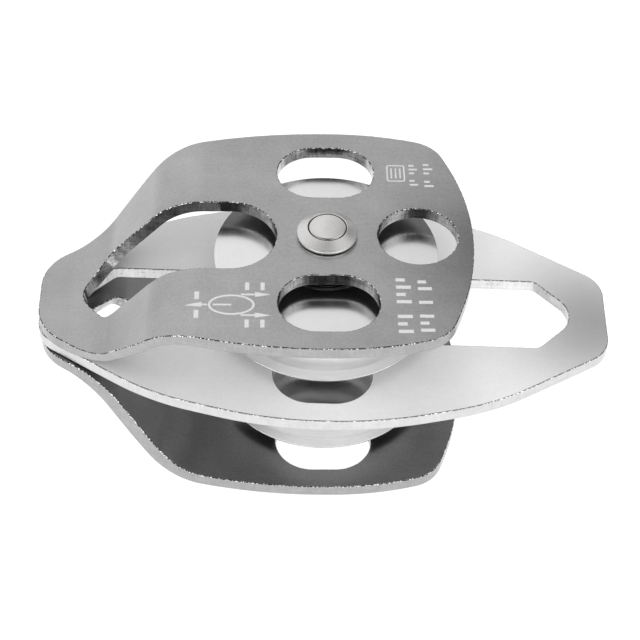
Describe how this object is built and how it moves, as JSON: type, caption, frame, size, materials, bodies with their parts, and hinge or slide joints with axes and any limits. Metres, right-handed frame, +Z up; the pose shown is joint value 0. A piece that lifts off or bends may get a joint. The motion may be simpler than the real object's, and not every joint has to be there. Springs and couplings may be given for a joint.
{
  "type": "double sheave block",
  "caption": "Rigging block with two grooved ball-bearing sheaves stacked on one axle, a centre plate with a becket, and side plates that swing open for the rope.",
  "frame": {"origin": "centre of the lower end face of the axle, the lowest point of the block", "axes": "+Z up along the axle; +X along the centre plate towards the becket, with the carabiner eye at -X; +Y across the plates"},
  "size_m": [0.1289, 0.0686, 0.0542],
  "materials": {
    "side_plate": "satin stainless sheet with a fine even grain",
    "centre_plate": "bright tumbled stainless sheet",
    "sheave": "polished turned light alloy",
    "turned_steel": "turned stainless with fine tool marks",
    "bearing_steel": "ground and polished",
    "shield_steel": "pressed sheet",
    "cage_brass": "machined brass"
  },
  "bodies": {
    "frame": {"centre_plate": "centre_plate", "axle": "turned_steel", "upper_axle_collar": "turned_steel", "lower_axle_collar": "turned_steel", "upper_bearing_inner_ring": "bearing_steel", "upper_outer_spacer": "turned_steel", "upper_inner_spacer": "turned_steel", "lower_bearing_inner_ring": "bearing_steel", "lower_outer_spacer": "turned_steel", "lower_inner_spacer": "turned_steel"},
    "upper_plate": {"upper_side_plate": "side_plate"},
    "lower_plate": {"lower_side_plate": "side_plate"},
    "upper_sheave_unit": {"upper_sheave": "sheave", "upper_bearing_outer_ring": "bearing_steel", "upper_bearing_outer_shield": "shield_steel", "upper_bearing_inner_shield": "shield_steel"},
    "lower_sheave_unit": {"lower_sheave": "sheave", "lower_bearing_outer_ring": "bearing_steel", "lower_bearing_outer_shield": "shield_steel", "lower_bearing_inner_shield": "shield_steel"},
    "upper_ball_set": {"upper_bearing_cage": "cage_brass", "upper_bearing_ball_1": "bearing_steel", "upper_bearing_ball_2": "bearing_steel", "upper_bearing_ball_3": "bearing_steel", "upper_bearing_ball_4": "bearing_steel", "upper_bearing_ball_5": "bearing_steel", "upper_bearing_ball_6": "bearing_steel", "upper_bearing_ball_7": "bearing_steel"},
    "lower_ball_set": {"lower_bearing_cage": "cage_brass", "lower_bearing_ball_1": "bearing_steel", "lower_bearing_ball_2": "bearing_steel", "lower_bearing_ball_3": "bearing_steel", "lower_bearing_ball_4": "bearing_steel", "lower_bearing_ball_5": "bearing_steel", "lower_bearing_ball_6": "bearing_steel", "lower_bearing_ball_7": "bearing_steel"}
  },
  "joints": [
    {"name": "upper_plate_swing", "type": "hinge", "parent": "frame", "child": "upper_plate", "pos_m": [0, 0, 0.0498], "axis": [0, 0, 1], "continuous": true},
    {"name": "lower_plate_swing", "type": "hinge", "parent": "frame", "child": "lower_plate", "pos_m": [0, 0, 0.0044], "axis": [0, 0, 1], "continuous": true},
    {"name": "upper_sheave_spin", "type": "hinge", "parent": "frame", "child": "upper_sheave_unit", "pos_m": [0, 0, 0.03845], "axis": [0, 0, 1], "continuous": true},
    {"name": "lower_sheave_spin", "type": "hinge", "parent": "frame", "child": "lower_sheave_unit", "pos_m": [0, 0, 0.01575], "axis": [0, 0, 1], "continuous": true},
    {"name": "upper_cage_orbit", "type": "hinge", "parent": "frame", "child": "upper_ball_set", "pos_m": [0, 0, 0.03845], "axis": [0, 0, 1], "continuous": true},
    {"name": "lower_cage_orbit", "type": "hinge", "parent": "frame", "child": "lower_ball_set", "pos_m": [0, 0, 0.01575], "axis": [0, 0, 1], "continuous": true}
  ],
  "couplings": [
    {"joint": "upper_cage_orbit", "follows": "upper_sheave_spin", "ratio": 0.63222},
    {"joint": "lower_cage_orbit", "follows": "lower_sheave_spin", "ratio": 0.63222}
  ]
}
